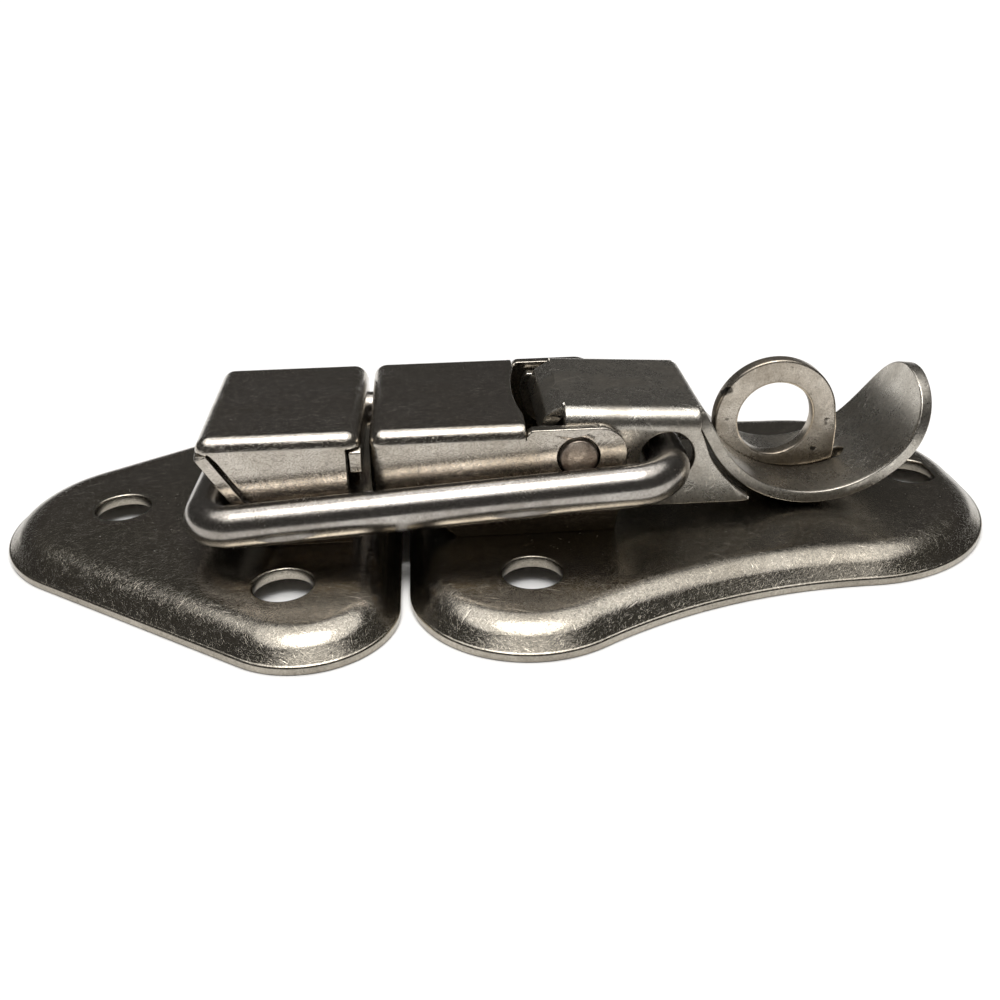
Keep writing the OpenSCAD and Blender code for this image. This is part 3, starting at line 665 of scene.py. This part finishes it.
# the lever: top with rolled sides, two-step flap, walls, and the tongue that dives and curls up
lever = {"sheet": 1.5, "half": 10.4, "roll": 2.4, "dip": 3.3, "top": 5.0, "flapStart": -1.6,
         "flapSteps": ((2.5, 35.0), (2.3, 68.0)), "flapBend": 0.08, "kneeBend": 0.1, "slope": 58.0, "bend": 1.4,
         "curl": 15.5, "tongueHalf": 9.1, "drop": 7.8, "reach": 30.4, "rollShort": 0.35, "topShort": 0.5,
         "growStart": 0.3, "growRun": 1.6, "wallBack": 5.2, "wallDrop": 8.2, "wallGap": 0.6, "heelBack": 2.0,
         "wallEnd": (0.3, 0.6), "toe": 2.2, "holeRadius": 3.4, "holeUp": 0.45, "slotStart": 18.5,
         "slotHole": 1.2, "slotPlay": 0.4, "edge": 0.17, "topPoints": 16, "bendSteps": 8, "divePoints": 6,
         "curlPoints": 60, "tipPoints": 24, "slotPoints": 12, "columns": 15, "backSteps": 24, "toePoints": 9,
         "gapSteps": 14, "holeSteps": 56}
hinge = placeOf(frame["joints"], "link_swing")
eyeLow, eyeHigh = cadBox("padlock_eye")
leverDip = math.radians(lever["dip"])


def leverPlace(points):
    # from the lever's own frame, level and about its pivot, to the closed lever's place
    x, y, z = points[..., 0], points[..., 1], points[..., 2]
    return np.stack([pivot[0] + x * math.cos(leverDip) + z * math.sin(leverDip), y,
                     pivot[2] - x * math.sin(leverDip) + z * math.cos(leverDip)], -1)


def undip(points):
    # side-view points (x, z) from the pivot of the closed lever, in the lever's own frame
    x, z = points[..., 0], points[..., 1]
    return np.stack([x * math.cos(leverDip) - z * math.sin(leverDip),
                     x * math.sin(leverDip) + z * math.cos(leverDip)], -1)


def leverSurfaces():
    # flap, top, bend, sloping stretch and curl are one side view; each half of it runs from the slot to
    # the edge: point(p, s) = (x(p), slot(p) + s (width(p) - slot(p)), z(p)). Rolled sides and walls follow
    r = lever["roll"]
    slope = math.radians(lever["slope"])
    curlX, curlZ = lever["reach"], lever["curl"] - lever["drop"]
    inner = lever["curl"] - lever["sheet"]
    # where the sloping stretch meets the curl and the level top
    footX, footZ = curlX - inner * math.sin(slope), curlZ - inner * math.cos(slope)
    topEnd = footX - (lever["top"] - footZ) / math.tan(slope)
    flatHalf = lever["half"] - r
    rollEnd = topEnd - lever["rollShort"]
    level = np.linspace(lever["flapStart"], rollEnd - lever["topShort"], lever["topPoints"])

    def facet(length, fall):
        return length * np.array([-math.cos(math.radians(fall)), -math.sin(math.radians(fall))])

    # flap: two short facets, with softened bends
    knee = np.array([lever["flapStart"], lever["top"]])
    first = knee + facet(*lever["flapSteps"][0])
    second = first + facet(*lever["flapSteps"][1])
    flap = np.array([second, first * 0.5 + second * 0.5, first + (second - first) * lever["flapBend"],
                     first + (knee - first) * lever["flapBend"], first * 0.5 + knee * 0.5,
                     knee + (first - knee) * lever["kneeBend"]])
    top = np.stack([level, level * 0 + lever["top"]], 1)
    soft = lever["bend"]
    bend = arc(topEnd - soft * math.tan(slope / 2), lever["top"] - soft, soft, 90, 90 - lever["slope"],
               lever["bendSteps"])
    dive = np.linspace(bend[-1], [footX, footZ], lever["divePoints"])[1:-1]
    # rows of the curl: even up to where the round end starts, then closer and closer
    endFoot = curlZ - lever["tongueHalf"]
    startEnd = math.degrees(math.acos(min(1.0, (curlZ - endFoot) / inner)))
    evenTurns = np.linspace(-lever["slope"], startEnd, lever["curlPoints"])
    tipRise = endFoot + lever["tongueHalf"] * np.sin(np.radians(np.linspace(0, 90, lever["tipPoints"])[1:]))
    tipTurns = np.degrees(np.arccos(np.clip((curlZ - tipRise) / inner, -1, 1)))
    slotHoleX = math.hypot(eyeHigh[0] - pivot[0], pivot[2] - plateTop) + lever["slotPlay"] - lever["slotHole"]
    holeTurn = math.degrees(math.asin(min(1.0, (slotHoleX - curlX) / inner)))
    holeTurns = holeTurn + np.degrees(lever["slotHole"] / inner) * np.sin(
        np.radians(np.linspace(-60, 90, lever["slotPoints"])))
    turns = np.radians(np.unique(np.round(np.concatenate([evenTurns, tipTurns, holeTurns]), 5)))
    curl = np.stack([curlX + inner * np.sin(turns), curlZ - inner * np.cos(turns)], 1)
    path = np.concatenate([flap, top, bend, dive, curl])
    x, z = path[:, 0], path[:, 1]
    count = len(flap) + len(top)
    widths = np.full(len(path), flatHalf)
    grown = np.clip((x - rollEnd - lever["growStart"]) / lever["growRun"], 0, 1)
    widths[count:] = (flatHalf + (lever["tongueHalf"] - flatHalf) * grown)[count:]
    onEnd = (x > curlX) & (z > endFoot)
    widths[onEnd] = np.sqrt(np.maximum(0, lever["tongueHalf"]**2 - (z[onEnd] - endFoot) ** 2))
    # the eye's slot: straight sides, then the round of its drilled end
    hole = lever["slotHole"]
    slot = np.where((x > lever["slotStart"]) & (x < slotHoleX), hole, 0.0)
    onRound = (np.abs(x - slotHoleX) < hole) & (x > slotHoleX)
    slot = np.where(onRound, np.sqrt(np.maximum(0, hole**2 - (x - slotHoleX) ** 2)), slot)
    slot[:count + len(bend)] = 0
    share = np.linspace(0, 1, lever["columns"])
    # side wall: round behind the pivot, level along the bottom, then beside the tongue
    along = np.concatenate([level, [rollEnd]])
    edge = lever["curl"] + lever["wallGap"]
    heel = undip(np.array([hinge[0] - pivot[0] - lever["heelBack"], -lever["wallDrop"]]))
    center = np.array([curlX, curlZ])
    ahead = np.array([math.cos(leverDip), math.sin(leverDip)])
    gap = center - heel
    tip = heel + (gap @ ahead - math.sqrt(edge**2 - (gap @ gap - (gap @ ahead) ** 2))) * ahead
    # the toe, where the level bottom meets the round gap beside the tongue, is softened by a curve
    tipTurn = math.degrees(math.atan2(*(tip - center)[::-1])) % 360
    toeTurn = tipTurn - math.degrees(lever["toe"] / edge)
    toeStart = tip - lever["toe"] * ahead
    toeEnd = arc(curlX, curlZ, edge, toeTurn, tipTurn, 1)[0]
    blend = np.linspace(0, 1, lever["toePoints"])[:, None]
    toe = (1 - blend) ** 2 * toeStart + 2 * blend * (1 - blend) * tip + blend**2 * toeEnd
    outline = chain(np.stack([along, along * 0 + lever["top"] - r], 1)[::-1],
                    arc(0, 0, lever["wallBack"], 150, 270, lever["backSteps"]), heel, toe,
                    arc(curlX, curlZ, edge, toeTurn, 270 - lever["slope"], lever["gapSteps"]),
                    [rollEnd + lever["wallEnd"][0], lever["top"] - r - lever["wallEnd"][1]])
    # the wire's hole, set out level about the hinge
    wireHole = undip(arc(hinge[0] - pivot[0], hinge[2] - pivot[2] + lever["holeUp"], lever["holeRadius"],
                         0, 360, lever["holeSteps"])[:-1])
    surfaces = []
    for side in (-1, 1):
        y = side * (slot[:, None] + (widths - slot)[:, None] * share)
        surfaces += [gridSurface(spread(x[:, None], y, z[:, None])),
                     longFold(along, side, flatHalf, lever["top"] - r, r),
                     flatSurface(outline, [wireHole], lambda u, v, side=side: spread(u, side * lever["half"], v))]
    return [(leverPlace(points), faces) for points, faces in surfaces]


leverPiece = makePiece("lever", leverSurfaces(), leverSteel, "lever", ["lever"])
finishSheet(leverPiece, lever["sheet"], lever["edge"])


eye = {"radius": 8.1, "hole": 5.0, "neckLeft": 2.0, "edge": 0.32, "thick": 2.0, "sole": 0.02, "sideStart": 0.5,
       "sideEnd": 1.6, "shoulder": 4.2, "shoulderTurn": 14, "neckEnd": 0.4, "footRound": 0.35,
       "sidePoints": 9, "neckPoints": 3, "shoulderSteps": 4, "footSteps": 3, "ringSteps": 110, "holeSteps": 120}


def eyeSurfaces():
    # a ring on a neck: the ring's right side runs straight down to the plate
    cx, _, cz = placeOf(frame["record"]["mounts"], "padlock_hole")
    right, r, soft = eyeHigh[0], eye["radius"], eye["footRound"]
    turn = math.degrees(math.asin(eye["neckLeft"] / r))
    sole = plateTop + eye["sole"]
    left, sideTop = cx - eye["neckLeft"], cz - eye["sideEnd"]
    side = np.linspace([right, sole + eye["sideStart"]], [right, sideTop], eye["sidePoints"])
    neck = np.linspace([left, cz - r], [left, sole + eye["neckEnd"]], eye["neckPoints"])
    shoulder = arc(right - eye["shoulder"], sideTop, eye["shoulder"], 0, eye["shoulderTurn"], eye["shoulderSteps"])
    outline = chain(side, shoulder[1:], arc(cx, cz, r, 10, 270 - turn, eye["ringSteps"]), neck[1:],
                    arc(left + soft, sole + soft, soft, 180, 270, eye["footSteps"]),
                    arc(right - soft, sole + soft, soft, 270, 350, eye["footSteps"]))
    ring = arc(cx, cz, eye["hole"], 0, 360, eye["holeSteps"])[:-1]
    return slabSurfaces(outline, [ring], eye["thick"], eye["edge"],
                        lambda u, v, depth: spread(u, depth - eye["thick"] / 2, v))


eyePiece = makePiece("padlockEye", eyeSurfaces(), eyeSteel, "base", ["padlock_eye"], up=(0, -1, 0))
finishSheet(eyePiece)


rivet = {"shaft": 1.7, "head": 2.3, "edge": 0.22, "dish": 0.05, "grip": 0.75, "facePoints": 9, "edgeSteps": 6,
         "aroundSteps": 64}


def rivetSurfaces():
    # a lathed pin across the latch: at each end a flat head, slightly dished, with a rounded edge:
    # point(p, a) = (r(p) cos a, y(p), r(p) sin a) about the pivot
    half = cadBox("pivot_rivet")[1][1]
    inner = rivet["head"] - rivet["edge"]
    face = np.linspace(0, inner, rivet["facePoints"])
    dish = rivet["dish"] * (1 - (face / inner) ** 4)
    turn = np.radians(np.linspace(90, 0, rivet["edgeSteps"] + 1)[1:])
    radii = np.concatenate([face, inner + rivet["edge"] * np.cos(turn), [rivet["head"], rivet["shaft"]]])
    outs = np.concatenate([dish, rivet["edge"] * (1 - np.sin(turn)), [rivet["grip"]] * 2])
    y = np.concatenate([outs - half, (half - outs)[::-1]])[:, None]
    r = np.concatenate([radii, radii[::-1]])[:, None]
    angle = np.linspace(0, 2 * math.pi, rivet["aroundSteps"] + 1)
    return [gridSurface(spread(pivot[0] + r * np.cos(angle), y, pivot[2] + r * np.sin(angle)))]


rivetPiece = makePiece("pivotRivet", rivetSurfaces(), rivetSteel, "base", ["pivot_rivet"])
finishSheet(rivetPiece)


link = {"wire": 5.2, "half": 16.1, "slope": 3.6, "corner": 4.2, "turn": 5.4, "endHalf": 5.9, "bow": 0.35,
        "capProfile": ((0.3, 0.0), (0.08, 0.09), (0.0, 0.3)), "endPoints": 5, "turnSteps": 20,
        "sidePoints": 30, "crossPoints": 31, "aroundSteps": 40}


def linkSurfaces():
    # round wire carried along a flat path: out of the lever, round a turn, along the latch,
    # round a corner, and across with a slight inward bow; the other half is its mirror image
    slope = math.radians(link["slope"])
    r = link["wire"] / 2
    length = (hinge[0] - cadBox("link")[0][0] - r) / math.cos(slope)
    half, c, t = link["half"], link["corner"], link["turn"]
    end = np.linspace([0, link["endHalf"]], [0, half - t], link["endPoints"])
    turnArc = arc(-t, half - t, t, 0, 90, link["turnSteps"])
    run = np.linspace([-t, half], [-length + c, half], link["sidePoints"])
    cornerArc = arc(-length + c, half - c, c, 90, 180, link["turnSteps"])
    y = np.linspace(half - c, -(half - c), link["crossPoints"])
    cross = np.stack([-length + link["bow"] * np.cos(np.pi * y / (2 * (half - c))) ** 2, y], 1)
    side = chain(end, turnArc, run, cornerArc)
    path = chain(side, cross, (side * [1, -1])[::-1])
    tangent = unit(np.gradient(path, axis=0))
    normal = np.stack([-tangent[:, 1], tangent[:, 0]], 1)
    # cut ends with a softened rim, closed to a point at the middle
    caps = np.array([(0.0, 0.0)] + [(r - inset, out) for inset, out in link["capProfile"]])
    radius = np.concatenate([caps[:, 0], np.full(len(path) - 2, r), caps[::-1, 0]])[:, None]
    first = path[0] + tangent[0] * caps[:, 1:]
    last = path[-1] - tangent[-1] * caps[::-1, 1:]
    spine = np.concatenate([first, path[1:-1], last])
    rows = len(caps)
    normals = np.concatenate([np.repeat(normal[:1], rows, 0), normal[1:-1], np.repeat(normal[-1:], rows, 0)])
    angle = np.linspace(0, 2 * math.pi, link["aroundSteps"] + 1)
    flat = spine[:, None] + (radius * np.cos(angle))[..., None] * normals[:, None]
    lift = radius * np.sin(angle)
    x = flat[..., 0]
    return [gridSurface(spread(hinge[0] + x * math.cos(slope) - lift * math.sin(slope), flat[..., 1],
                               hinge[2] + x * math.sin(slope) + lift * math.cos(slope)))]


linkPiece = makePiece("link", linkSurfaces(), wireSteel, "link", ["link"])
finishSheet(linkPiece)

# the hidden rivets keep their own shape
for name, node in frame["nodes"].items():
    if "_rivet_" in name:
        node.data.materials.clear()
        node.data.materials.append(rivetSteel)
print("pieces made")


# floor, light and camera
studio = {"floorReach": 30.0, "room": (1.0, 0.97, 0.93, 1), "sky": 0.07}
paper = {"Base Color": (0.93, 0.93, 0.93, 1), "Roughness": 0.9, "Specular IOR Level": 0.0}
softboxes = {"overhead": {"strength": 1.8, "spread": 74.0, "tilt": 3.0, "tint": (1, 1, 1)},
             "core": {"strength": 1.7, "spread": 36.0, "tilt": -5.0, "tint": (1, 0.98, 0.95)}}
view = {"place": (-7.565, -130.49, 69.583), "yaw": 3.07, "pitch": 27.33, "roll": -1.276, "focal": 1.0882,
        "sensor": 36, "shift": 0.0069, "near": 0.01}

reach = studio["floorReach"]
floorMesh = bpy.data.meshes.new("floor")
floorMesh.from_pydata([(-reach, -reach, 0), (reach, -reach, 0), (reach, reach, 0), (-reach, reach, 0)],
                      [], [(0, 1, 2, 3)])
floor = bpy.data.objects.new("floor", floorMesh)
bpy.context.scene.collection.objects.link(floor)
paperMaterial = bpy.data.materials.new("paper")
paperMaterial.use_nodes = True
for key, value in paper.items():
    paperMaterial.node_tree.nodes["Principled BSDF"].inputs[key].default_value = value
floorMesh.materials.append(paperMaterial)

for name, box in softboxes.items():
    # a round softbox far away, straight above, tilted towards +Y
    light = bpy.data.lights.new(name, "SUN")
    light.energy = box["strength"]
    light.angle = math.radians(box["spread"])
    light.color = box["tint"]
    lamp = bpy.data.objects.new(name, light)
    lamp.rotation_euler = (-math.radians(box["tilt"]), 0, 0)
    bpy.context.scene.collection.objects.link(lamp)

world = bpy.data.worlds.new("studio")
bpy.context.scene.world = world
world.use_nodes = True
surround = world.node_tree.nodes["Background"]
surround.inputs["Color"].default_value = studio["room"]
# the metal reflects a dim room, while the room itself looks as pale as the floor
path = addNode(world.node_tree, "LightPath")
seen = mathNode(world.node_tree, "MULTIPLY", path.outputs["Is Camera Ray"], 1.0 - studio["sky"])
wire(world.node_tree, (mathNode(world.node_tree, "ADD", seen, studio["sky"]), surround.inputs["Strength"]))

camera = bpy.data.cameras.new("camera")
camera.sensor_width = view["sensor"]
camera.lens = view["sensor"] * view["focal"]
camera.shift_x = view["shift"]
camera.clip_start = view["near"]
cameraObject = bpy.data.objects.new("camera", camera)
bpy.context.scene.collection.objects.link(cameraObject)
cameraObject.location = [v * mm for v in view["place"]]
yaw, pitch, roll = (math.radians(view[k]) for k in ("yaw", "pitch", "roll"))
forward = Vector((math.sin(yaw) * math.cos(pitch), math.cos(yaw) * math.cos(pitch), -math.sin(pitch)))
cameraObject.rotation_mode = "QUATERNION"
cameraObject.rotation_quaternion = Quaternion(forward, -roll) @ forward.to_track_quat("-Z", "Y")
bpy.context.scene.camera = cameraObject
bpy.context.scene.view_settings.view_transform = "Standard"
print("studio made")
